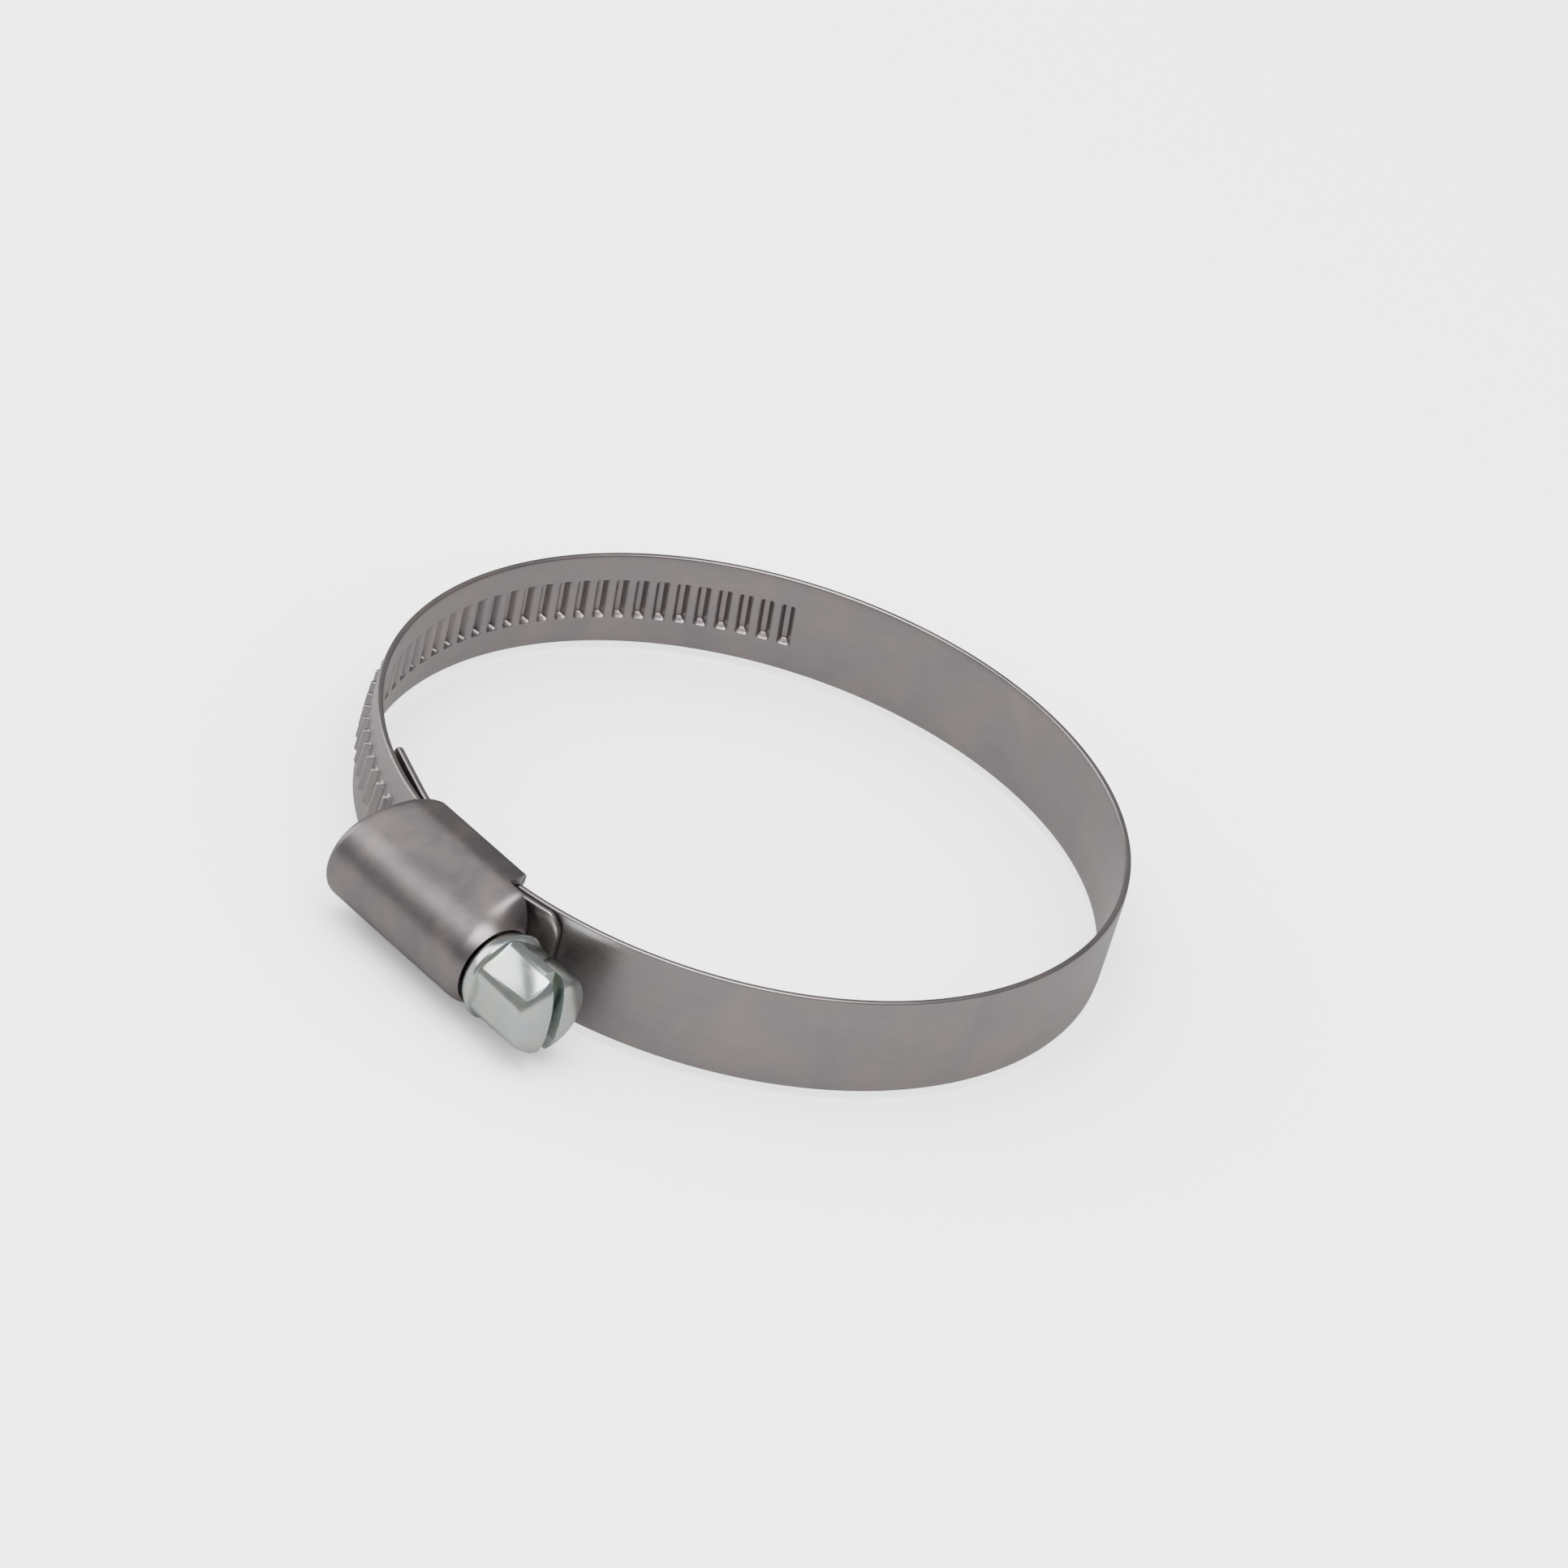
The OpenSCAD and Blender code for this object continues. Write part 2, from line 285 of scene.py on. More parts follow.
def apply_modifier(obj, kind, **settings):
    """Adds a modifier with its settings and applies it at once."""
    select_only(obj)
    modifier = obj.modifiers.new(kind.title(), kind)
    for key, value in settings.items():
        setattr(modifier, key, value)
    bpy.ops.object.modifier_apply(modifier=modifier.name)


def cut(obj, tool, operation="DIFFERENCE"):
    """Applies a boolean with another object and removes that object."""
    apply_modifier(obj, "BOOLEAN", object=tool, operation=operation, solver="EXACT")
    select_only(tool)
    bpy.ops.object.delete()
    select_only(obj)


def box_tool(low, high, rounding=0.0):
    """A box between two corners, for cutting, with its edges rounded."""
    clear_selection()
    low, high = Vector(low), Vector(high)
    bpy.ops.mesh.primitive_cube_add(size=1, location=(low + high) / 2, scale=high - low)
    tool = bpy.context.object
    bpy.ops.object.transform_apply(location=True, rotation=True, scale=True)
    if rounding:
        apply_modifier(tool, "BEVEL", width=rounding, segments=4, limit_method="NONE")
    return tool


def lathe(name, profile):
    """Turns a profile of (station, radius) points about the screw's axis into a closed solid."""
    draw_line(name, [(x, SCREW_Y, radius) for x, radius in profile])
    spin(LATHE_STEPS, -TURN, (0, SCREW_Y, 0), (1, 0, 0))
    close_solid()
    return bpy.context.object


def finish_piece(obj, material, smooth=35):
    """Gives a piece its smoothing, material and slot, with its place in its mesh."""
    select_only(obj)
    bpy.ops.object.transform_apply(location=True, rotation=True, scale=True)
    bpy.ops.object.shade_smooth_by_angle(angle=math.radians(smooth))
    obj.data.materials.clear()
    obj.data.materials.append(material)


def smooth_step(value):
    """Eases from 0 to 1."""
    value = min(max(value, 0), 1)
    return value * value * (3 - 2 * value)


# ---------------------------------------------------------------------------------------------
# Materials
# ---------------------------------------------------------------------------------------------

SMUDGE_GLOSS = 0.14         # how far smudges change the roughness
SCUFF_GLOSS = 0.08          # how far scuffs add to it
GRAIN_HEIGHT = 0.35         # of the fine grain, beside the rolling lines
RELIEF = 0.02 * MM          # depth of grain and lines

# Each metal: its colour setting, roughness, strength of its rolling lines, tints of its darker and
# lighter smudges, and how fine the marks are.
METALS = {
    "Band steel": ("band", 0.32, 0.2, (0.88, 0.88, 0.92), (1.08, 1.04, 1.0), 160.0),
    "Housing steel": ("housing", 0.38, 0.0, (0.78, 0.79, 0.88), (1.14, 1.07, 1.02), 230.0),
    "Screw zinc": ("screw", 0.2, 0.0, (0.86, 0.93, 0.97), (1.06, 1.04, 0.9), 420.0),
}


def link(tree, source, target):
    """Joins an output socket to an input socket."""
    tree.links.new(source, target)


def add_node(tree, kind, **values):
    """Adds a node and sets its inputs and settings by name."""
    node = tree.nodes.new(kind)
    for key, value in values.items():
        if key in node.inputs:
            node.inputs[key].default_value = value
        else:
            setattr(node, key, value)
    return node


def new_group(name, inputs, outputs):
    """A shader node group with named sockets, and its input and output nodes."""
    tree = bpy.data.node_groups.new(name, "ShaderNodeTree")
    for label, kind, default in inputs:
        socket = tree.interface.new_socket(name=label, in_out="INPUT", socket_type=kind)
        if default is not None:
            socket.default_value = default
    for label, kind in outputs:
        tree.interface.new_socket(name=label, in_out="OUTPUT", socket_type=kind)
    return tree, tree.nodes.new("NodeGroupInput"), tree.nodes.new("NodeGroupOutput")


def math_node(tree, operation, *values):
    """A Math node; each value is a number or an output socket."""
    node = tree.nodes.new("ShaderNodeMath")
    node.operation = operation
    for socket, value in zip(node.inputs, values):
        if isinstance(value, bpy.types.NodeSocket):
            link(tree, value, socket)
        else:
            socket.default_value = value
    return node.outputs[0]


def rolling_lines():
    """Fine lines that run round the strip, left by rolling."""
    tree, given, made = new_group(
        "Rolling lines",
        [("Vector", "NodeSocketVector", None), ("Fineness", "NodeSocketFloat", 9000.0)],
        [("Lines", "NodeSocketFloat"), ("Bands", "NodeSocketFloat")],
    )
    place = add_node(tree, "ShaderNodeSeparateXYZ")
    link(tree, given.outputs["Vector"], place.inputs[0])
    along = math_node(tree, "MULTIPLY", place.outputs["X"], 60.0)
    across = math_node(tree, "MULTIPLY", place.outputs["Y"], 60.0)
    fine = math_node(tree, "MULTIPLY", place.outputs["Z"], given.outputs["Fineness"])
    stretched = add_node(tree, "ShaderNodeCombineXYZ")
    for source, target in zip((along, across, fine), stretched.inputs):
        link(tree, source, target)
    lines = add_node(tree, "ShaderNodeTexNoise", Scale=1.0, Detail=3.0, Roughness=0.6)
    link(tree, stretched.outputs[0], lines.inputs["Vector"])
    slow = math_node(tree, "MULTIPLY", fine, 0.12)
    wide = add_node(tree, "ShaderNodeCombineXYZ")
    for source, target in zip((along, across, slow), wide.inputs):
        link(tree, source, target)
    bands = add_node(tree, "ShaderNodeTexNoise", Scale=0.6, Detail=2.0, Roughness=0.5)
    link(tree, wide.outputs[0], bands.inputs["Vector"])
    link(tree, lines.outputs[0], made.inputs["Lines"])
    link(tree, bands.outputs[0], made.inputs["Bands"])
    return tree


def handling_marks():
    """Soft smudges and small scuffs from handling."""
    tree, given, made = new_group(
        "Handling marks",
        [("Vector", "NodeSocketVector", None), ("Size", "NodeSocketFloat", 160.0)],
        [("Smudge", "NodeSocketFloat"), ("Scuff", "NodeSocketFloat"), ("Grain", "NodeSocketFloat")],
    )
    smudge = add_node(tree, "ShaderNodeTexNoise", Detail=4.0, Roughness=0.55, Distortion=0.4)
    link(tree, given.outputs["Vector"], smudge.inputs["Vector"])
    link(tree, given.outputs["Size"], smudge.inputs["Scale"])
    scuff = add_node(tree, "ShaderNodeTexNoise", Detail=8.0, Roughness=0.7, Distortion=1.5)
    link(tree, given.outputs["Vector"], scuff.inputs["Vector"])
    link(tree, math_node(tree, "MULTIPLY", given.outputs["Size"], 5.0), scuff.inputs["Scale"])
    sharp = add_node(tree, "ShaderNodeMapRange")
    sharp.inputs["From Min"].default_value = 0.58
    sharp.inputs["From Max"].default_value = 0.72
    link(tree, scuff.outputs[0], sharp.inputs["Value"])
    grain = add_node(tree, "ShaderNodeTexNoise", Detail=2.0, Roughness=0.6)
    link(tree, given.outputs["Vector"], grain.inputs["Vector"])
    link(tree, math_node(tree, "MULTIPLY", given.outputs["Size"], 40.0), grain.inputs["Scale"])
    link(tree, smudge.outputs[0], made.inputs["Smudge"])
    link(tree, sharp.outputs[0], made.inputs["Scuff"])
    link(tree, grain.outputs[0], made.inputs["Grain"])
    return tree


def shared_group(name, build):
    """A node group by name, built the first time that it is asked for."""
    return bpy.data.node_groups.get(name) or build()


def place_group(tree, group, vector, **values):
    """Places a node group in a material, fed with a vector and its own values."""
    node = tree.nodes.new("ShaderNodeGroup")
    node.node_tree = group
    link(tree, vector, node.inputs["Vector"])
    for key, value in values.items():
        node.inputs[key].default_value = value
    return node


def tinted(tree, dark, light, factor):
    """A colour between two, by a factor."""
    ramp = tree.nodes.new("ShaderNodeValToRGB")
    ramp.color_ramp.elements[0].position = 0.3
    ramp.color_ramp.elements[0].color = (*dark, 1)
    ramp.color_ramp.elements[1].position = 0.7
    ramp.color_ramp.elements[1].color = (*light, 1)
    link(tree, factor, ramp.inputs[0])
    return ramp.outputs[0]


def scaled(value, factor):
    """A colour made lighter or darker, or tinted where factor has three parts."""
    factors = factor if isinstance(factor, tuple) else (factor,) * 3
    return tuple(min(1.0, part * by) for part, by in zip(value, factors))


def metal_material(name, value, roughness, lines, cool, warm, size):
    """A plated or rolled metal with smudges, scuffs and, where wanted, rolling lines."""
    material = bpy.data.materials.new(name)
    material.use_nodes = True
    tree = material.node_tree
    shader = tree.nodes["Principled BSDF"]
    shader.inputs["Metallic"].default_value = 1.0
    where = tree.nodes.new("ShaderNodeTexCoord").outputs["Object"]
    marks = place_group(tree, shared_group("Handling marks", handling_marks), where, Size=size)
    base = tinted(tree, scaled(value, cool), scaled(value, warm), marks.outputs["Smudge"])
    least = roughness - SMUDGE_GLOSS / 2
    gloss = math_node(tree, "MULTIPLY_ADD", marks.outputs["Smudge"], SMUDGE_GLOSS, least)
    gloss = math_node(tree, "MULTIPLY_ADD", marks.outputs["Scuff"], SCUFF_GLOSS, gloss)
    height = math_node(tree, "MULTIPLY", marks.outputs["Grain"], GRAIN_HEIGHT)
    if lines:
        rolled = place_group(tree, shared_group("Rolling lines", rolling_lines), where)
        streak = math_node(tree, "MULTIPLY_ADD", rolled.outputs["Lines"], lines, 1 - lines / 2)
        mixed = tree.nodes.new("ShaderNodeVectorMath")
        mixed.operation = "SCALE"
        link(tree, base, mixed.inputs[0])
        link(tree, streak, mixed.inputs["Scale"])
        base = mixed.outputs[0]
        gloss = math_node(tree, "MULTIPLY_ADD", rolled.outputs["Bands"], lines * 0.5, gloss)
        height = math_node(tree, "ADD", height, rolled.outputs["Lines"])
    relief = add_node(tree, "ShaderNodeBump", Strength=0.35, Distance=RELIEF)
    link(tree, height, relief.inputs["Height"])
    link(tree, base, shader.inputs["Base Color"])
    link(tree, gloss, shader.inputs["Roughness"])
    link(tree, relief.outputs[0], shader.inputs["Normal"])


def metal(name):
    """One of the three metals, made the first time that it is asked for."""
    if name not in bpy.data.materials:
        setting, *looks = METALS[name]
        metal_material(name, tuple(getattr(bpy.context.scene.hose_clamp.finishes, setting)), *looks)
    return bpy.data.materials[name]


# ---------------------------------------------------------------------------------------------
# Band
# ---------------------------------------------------------------------------------------------

PLAIN_STEPS = 66            # along one plain piece
TOOTH_STEPS = 16            # along one tooth
CORNER_RINGS = 10           # round the corners of a free end
BEND_R = 12 * MM            # of the short bend in the fixed end
STRAIGHT_R = 400 * MM       # so large that the fixed end's tip is all but straight
BEND_GAP = 0.3 * MM         # from the housing's plain end to that bend


def band_rows(sizes):
    """Distances from the strip's middle at which its faces have rows of edges."""
    half = sizes.tooth_length / 2
    end = sizes.tooth_end
    rows = [0.0, 0.3 * half, 0.6 * half, half - 1.5 * end]
    rows += [half - end * part for part in (1, 0.75, 0.5, 0.25, 0)]
    rows += [half + 0.5 * end, half + 2 * end, (half + BAND_W / 2) / 2 + end]
    return rows


def band_section(sizes):
    """Section of the strip as (across, out) points round a closed line, out from its inner face."""
    half_w, half_t, edge = BAND_W / 2, BAND_T / 2, sizes.edge_round
    roll_from = half_w - sizes.edge_roll
    fall = [(half_w - edge - (1 - part) * (sizes.edge_roll - edge), half_t - sizes.edge_fall * part ** 1.5)
            for part in (0, 0.12, 0.35, 0.65)]
    corner = half_w - edge, half_t - sizes.edge_fall - edge
    bend = [(corner[0] + edge * math.sin(turn), corner[1] + edge * math.cos(turn))
            for turn in (math.radians(step) for step in range(0, 91, 18))]
    quarter = [(row, half_t) for row in band_rows(sizes) if row < roll_from] + fall + bend
    right = quarter + [(across, -out) for across, out in reversed(quarter)]
    left = [(-across, out) for across, out in reversed(right) if across > 0]
    return [(across, out + half_t) for across, out in right + left]


def open_strip(name, sizes, radius, start):
    """Draws the strip's section at an angle about the origin and leaves it selected in edit mode."""
    points = [(radius + out, 0, across) for across, out in band_section(sizes)]
    obj = draw_line(name, points, closed=True)
    bpy.ops.object.mode_set(mode="OBJECT")
    obj.rotation_euler = (0, 0, start)
    bpy.ops.object.transform_apply(location=True, rotation=True, scale=True)
    bpy.ops.object.mode_set(mode="EDIT")
    bpy.ops.mesh.select_all(action="SELECT")
    return obj


def round_off(radius, corner, way, centre=(0, 0, 0)):
    """Carries the strip's open end on to a free end with rounded corners."""
    done, width = 0.0, BAND_W / 2
    for ring in range(1, CORNER_RINGS + 1):
        turn = math.radians(90) * ring / CORNER_RINGS
        reach = corner * math.sin(turn)
        now = BAND_W / 2 - corner * (1 - math.cos(turn))
        spin(1, way * (reach - done) / radius, centre)
        bpy.ops.transform.resize(value=(1, 1, now / width))
        done, width = reach, now


def fixed_tip(sizes, radius, bend_from):
    """Carries the fixed end out of the fold: a short inward bend, then straight to its square tip."""
    way = Vector((math.cos(bend_from), math.sin(bend_from), 0))
    centre = way * (radius - BEND_R)
    spin(8, -sizes.lap_bend, centre)
    way.rotate(Matrix.Rotation(-sizes.lap_bend, 3, "Z"))
    left = (bend_from - LAP_END) * radius - BEND_R * sizes.lap_bend - sizes.lap_radius
    centre = centre + way * (BEND_R - STRAIGHT_R)
    spin(10, -left / STRAIGHT_R, centre)
    round_off(STRAIGHT_R, sizes.lap_radius, -1, centre)


def press_teeth(obj, sizes, radius, first, last):
    """Presses ridges outwards and pockets behind them between two angles, then leans them."""
    step = LINK / sizes.teeth_per_link
    ridge = obj.vertex_groups.new(name="ridge")
    pocket = obj.vertex_groups.new(name="pocket")
    lean = obj.vertex_groups.new(name="lean")
    foot, crest, end = sizes.tooth_foot / 2, sizes.tooth_crest / 2, sizes.tooth_end
    for vertex in obj.data.vertices:
        place = vertex.co
        at = math.atan2(place.y, place.x) % TURN
        lean.add([vertex.index], lean_at(at, first, last, step), "REPLACE")
        off = abs((at - first + step / 2) % step - step / 2) * radius
        inside = first - step / 2 < at < last + step / 2
        across = (sizes.tooth_length / 2 - abs(place.z)) / end
        outer = math.hypot(place.x, place.y) - radius > BAND_T / 2
        wide = foot if outer else foot + sizes.pocket_spread / 2
        flat = crest if outer else sizes.pocket_floor / 2
        weight = smooth_step((wide - off) / (wide - flat)) * smooth_step(across) if inside else 0
        if weight > 0:
            (ridge if outer else pocket).add([vertex.index], weight, "REPLACE")
    for group, strength in (("ridge", sizes.tooth_height), ("pocket", -sizes.pocket_depth)):
        apply_modifier(obj, "DISPLACE", vertex_group=group, strength=strength, mid_level=0)
    twist = math.tan(sizes.tooth_lean) * BAND_W / radius
    apply_modifier(
        obj, "SIMPLE_DEFORM", deform_method="TWIST", deform_axis="Z", angle=twist, vertex_group="lean"
    )
    obj.vertex_groups.clear()


def lean_at(at, first, last, step):
    """How much the strip's section leans at an angle: wholly over the teeth and not beyond them."""
    before = smooth_step((at - first) / step + 1.5)
    after = smooth_step((last - at) / step + 2.5)
    return min(before, after)


def band_piece(number):
    """One piece of the band, from near the middle of one rigid length to that of the next.

    Pieces meet between two teeth, never across one.
    """
    sizes = bpy.context.scene.hose_clamp.band
    housing = bpy.context.scene.hose_clamp.housing
    before_crown = FIRST_HINGE + (number - 0.5) * LINK < CROWN + LINK / 4
    radius = LOOP_R if before_crown else OUTER_R
    centre = Vector() if before_crown else OUTER_CENTRE
    at = angle_of(HINGES[number - 1], centre)
    shift = LINK / sizes.teeth_per_link * (sizes.teeth_per_link % 2) / 2
    start, end = at - LINK / 2 + shift, at + LINK / 2 + shift
    first_tooth = HOUSING_AT - sizes.first_tooth
    toothed = end % TURN > first_tooth and not before_crown
    name = f"band_{number:02d}"
    step = LINK / (sizes.teeth_per_link * TOOTH_STEPS if toothed else PLAIN_STEPS)
    if number == 1:
        obj = open_strip(name, sizes, radius, end)
        bend_from = HOUSING_AT - math.asin((housing.wall_back + BEND_GAP) / radius)
        spin(round((end - bend_from) / step), bend_from - end)
        fixed_tip(sizes, radius, bend_from)
    else:
        obj = open_strip(name, sizes, radius, start)
        plain_end = TAIL_END - sizes.tip_radius / radius if number == len(HINGES) else end
        spin(round((plain_end - start) / step), plain_end - start)
        if number == len(HINGES):
            round_off(radius, sizes.tip_radius, 1)
    close_solid()
    if toothed:
        press_teeth(obj, sizes, radius, first_tooth, HOUSING_AT + sizes.last_tooth)
    if number == 1:
        cut_neck(obj, sizes, housing)
    obj.location = centre
    finish_piece(obj, metal("Band steel"))
    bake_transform(obj)
    replaced = [CHAIN[number]] if number < len(HINGES) else ["toothed_end"]
    if number == 1:
        replaced.append("fixed_end")
    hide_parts(*replaced)


def cut_neck(obj, sizes, housing):
    """Narrows the fixed end where it lies between the housing's tabs."""
    back, front = -housing.wall_back - 0.1 * MM, housing.wall_front + 0.1 * MM
    for side in (-1, 1):
        z = sorted((side * sizes.neck_half, side * BAND_W))
        cut(obj, box_tool((back, -LOOP_R - 2 * MM, z[0]), (front, -LOOP_R + 2 * MM, z[1]), 0.4 * MM))


# ---------------------------------------------------------------------------------------------
# Housing
# ---------------------------------------------------------------------------------------------

END_LEAN = 1.75 * MM        # how far the sheet's plain end leans back, from fold to screw
FOLD_CORNER = 0.9 * MM      # height over which the fold's two ends are rounded
BACK_CORNER = 0.9 * MM      # how far its plain end is rounded back
FRONT_CORNER = 0.45 * MM    # how far its screw end is rounded back
OPEN_TURN = math.radians(36)    # half of the gap in the curled end, seen from the screw
CURL_FROM = 1.6 * MM        # from the wall's screw end to where the flanks begin to curl in
CURL_OVER = 1.8 * MM        # length over which they do


def fold_top(sizes):
    """Place of the fold's crest on the sheet's middle line, inside the band."""
    return sizes.fold_proud - LOOP_R - sizes.sheet / 2


def barrel_radius(sizes):
    """Radius of the sheet's middle line round the screw."""
    return SCREW_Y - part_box("housing")[0].y - sizes.sheet / 2


def housing_half(sizes):
    """Half of the sheet's middle line as (y, z) points: tab, fold, wall, shoulder, flank, barrel."""
    sheet, fold = sizes.sheet, sizes.fold_radius
    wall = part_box("housing")[1].z - sheet / 2
    barrel = barrel_radius(sizes)
    top = fold_top(sizes)
    inner = wall - 2 * fold
    tab_y = -LOOP_R - BAND_T / 2
    tip = wall - sheet / 2 - sizes.tab_reach
    shoulder = -OUTER_R - HALF_LAP - BAND_T - 0.15 * MM
    line = [(tab_y, tip), (tab_y, (tip + inner) / 2), (tab_y + 0.18 * MM, inner - 0.12 * MM)]
    line += [(top - fold - 0.1 * MM, inner)]
    line += [(top - fold + fold * math.sin(turn), wall - fold - fold * math.cos(turn))
             for turn in (math.radians(step) for step in (30, 65, 90, 115, 150, 180))]
    line += [(top - 2 * fold, wall), ((top + shoulder) / 2 - fold, wall), (shoulder + 0.25 * MM, wall)]
    rise, half = shoulder - SCREW_Y, wall
    touch = math.atan2(half, rise) + math.acos(barrel / math.hypot(rise, half))
    touching = (SCREW_Y + barrel * math.cos(touch), barrel * math.sin(touch))
    flank = [(shoulder + (touching[0] - shoulder) * part, wall + (touching[1] - wall) * part)
             for part in (0.06, 0.3, 0.6, 0.85)]
    arc_steps = 7
    arc = [(SCREW_Y + barrel * math.cos(turn), barrel * math.sin(turn))
           for turn in (touch + (math.pi - touch) * step / arc_steps for step in range(arc_steps + 1))]
    return line, flank, arc


def grow(points):
    """Extrudes the selected line in place and moves it to new points, one for each old point."""
    obj = bpy.context.object
    mesh = bmesh.from_edit_mesh(obj.data)
    old = [vertex.co.copy() for vertex in mesh.verts if vertex.select]
    bpy.ops.mesh.extrude_edges_move(TRANSFORM_OT_translate={"value": (0, 0, 0)})
    mesh = bmesh.from_edit_mesh(obj.data)
    fresh = [vertex for vertex in mesh.verts if vertex.select]
    assert [vertex.co.copy() for vertex in fresh] == old
    for vertex, point in zip(fresh, points):
        vertex.co = point
    bmesh.update_edit_mesh(obj.data)
    return [vertex.index for vertex in fresh]


def select_points(indices):
    """Selects vertices by number."""
    bpy.ops.mesh.select_all(action="DESELECT")
    mesh = bmesh.from_edit_mesh(bpy.context.object.data)
    mesh.verts.ensure_lookup_table()
    for index in indices:
        mesh.verts[index].select = True
    mesh.select_flush(True)


def make_housing():
    """The folded sheet round the screw: barrel, shoulders, walls and tabs."""
    sizes = bpy.context.scene.hose_clamp.housing
    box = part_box("housing")
    line, flank, arc = housing_half(sizes)
    half = line + flank + arc
    outline = half + [(y, -z) for y, z in reversed(half[:-1])]
    back_low = box[0].x + sizes.sheet / 2
    top = fold_top(sizes)

    def rounded(y):
        return max(0, (y - top + FOLD_CORNER) / FOLD_CORNER) ** 2

    def back_edge(y):
        lean = (top - y) / (top - SCREW_Y) * END_LEAN
        return max(back_low, -sizes.wall_back + 0.1 * MM - lean + rounded(y) * BACK_CORNER)

    def front_edge(y):
        return sizes.wall_front - rounded(y) * FRONT_CORNER

    def section(part):
        return [(back_edge(y) + (front_edge(y) - back_edge(y)) * part, y, z) for y, z in outline]

    first = section(0)
    obj = draw_line("housing_sheet", first)
    for part in (0.04, 0.12, 0.26, 0.42, 0.58, 0.74, 0.88, 0.96, 1.0):
        last_row = grow(section(part))
    kept = range(len(line) - 1, len(outline) - len(line) + 1)
    select_points([last_row[index] for index in kept])
    neck = [outline[index] for index in kept]
    length_left = box[1].x - sizes.wall_front
    barrel = barrel_radius(sizes)
    for part in (0.08, 0.2, 0.35, 0.5, 0.63, 0.74, 0.83, 0.91, 0.97, 1.0):
        x = sizes.wall_front + length_left * part
        curl = smooth_step((part * length_left - CURL_FROM) / CURL_OVER)
        lip = max(0, 1 - (1 - part) * length_left / sizes.lip_length)
        radius = barrel + (sizes.lip_radius - barrel) * lip ** 2
        grow(neck_points(neck, x, curl, radius, barrel))
    select_points(kept)
    for part, forward in ((0.93, -0.12), (0.82, -0.16), (0.7, -0.14), (sizes.hole / barrel, -0.1)):
        grow([(first[index][0] + forward * MM, SCREW_Y + (y - SCREW_Y) * part, z * part)
              for index, (y, z) in zip(kept, neck)])
    bpy.ops.mesh.select_all(action="SELECT")
    bpy.ops.mesh.normals_make_consistent(inside=False)
    bpy.ops.object.mode_set(mode="OBJECT")
    apply_modifier(obj, "SUBSURF", levels=2, render_levels=2, boundary_smooth="PRESERVE_CORNERS")
    apply_modifier(obj, "SOLIDIFY", thickness=sizes.sheet, offset=0, use_even_offset=True)
    apply_modifier(
        obj, "BEVEL", width=0.1 * MM, segments=3, limit_method="ANGLE", angle_limit=math.radians(50)
    )
    finish_piece(obj, metal("Housing steel"), 50)
    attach(obj, "root")
    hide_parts("housing")


def neck_points(neck, x, curl, radius, barrel):
    """The barrel and its flanks at a station past the wall, where the flanks curl in round the screw."""
    polar = [(math.hypot(y - SCREW_Y, z), math.atan2(z, y - SCREW_Y) % TURN) for y, z in neck]
    arc_from = min(turn for reach, turn in polar if reach < barrel * 1.001)
    points = []
    for reach, turn in polar:
        side = 1 if turn < math.pi else -1
        apart = turn if side > 0 else TURN - turn
        if apart < arc_from:
            low = polar[0][1]
            goal = OPEN_TURN + (arc_from - OPEN_TURN) * (apart - low) / (arc_from - low)
        else:
            goal = apart
        now = apart + (goal - apart) * curl
        far = (reach + (barrel - reach) * curl) * radius / barrel
        points.append((x, SCREW_Y + far * math.cos(now), side * far * math.sin(now)))
    return points


# ---------------------------------------------------------------------------------------------
# Screw
# ---------------------------------------------------------------------------------------------


def make_head():
    """Domed hexagon with rounded corners and a driver slot, on a conical collar and a stem."""
    sizes = bpy.context.scene.hose_clamp.screw
    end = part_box("screw")[1].x
    start = end - sizes.hex_length
    radius = sizes.across_flats / math.sqrt(3)
    clear_selection()
    bpy.ops.mesh.primitive_cylinder_add(
        vertices=6, radius=radius, depth=sizes.hex_length, location=((start + end) / 2, SCREW_Y, 0),
        rotation=(0, math.radians(90), 0),
    )
    obj = bpy.context.object
    obj.name = obj.data.name = "screw_head"
    bpy.ops.object.transform_apply(location=True, rotation=True, scale=True)
    round_corners(obj, sizes.corner)
    spin_about_screw(obj, math.radians(30) + sizes.rest_angle)
    crown = [(start - 0.1 * MM, 0), (start - 0.1 * MM, radius - 0.35 * MM)]
    crown += [(start + 0.25 * MM, radius - 0.04 * MM), (start + 0.8 * MM, radius)]
    crown += [(end - sizes.dome - 0.5 * MM, radius - 0.02 * MM)]
    crown += [(end - sizes.dome + sizes.dome * math.sin(turn), (radius - 0.25 * MM) * math.cos(turn) ** 0.8)
              for turn in (math.radians(step) for step in range(0, 90, 8))] + [(end, 0)]
    cut(obj, lathe("crown", crown), "INTERSECT")
    slot = box_tool(
        (end - sizes.slot_depth, SCREW_Y - sizes.slot_width / 2, -radius - MM),
        (end + MM, SCREW_Y + sizes.slot_width / 2, radius + MM),
    )
    spin_about_screw(slot, sizes.rest_angle)
    cut(obj, slot)
    apply_modifier(
        obj, "BEVEL", width=0.07 * MM, segments=2, limit_method="ANGLE", angle_limit=math.radians(32)
    )
    finish_piece(obj, metal("Screw zinc"), 32)
    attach(obj, "screw")
    make_collar(sizes, start)


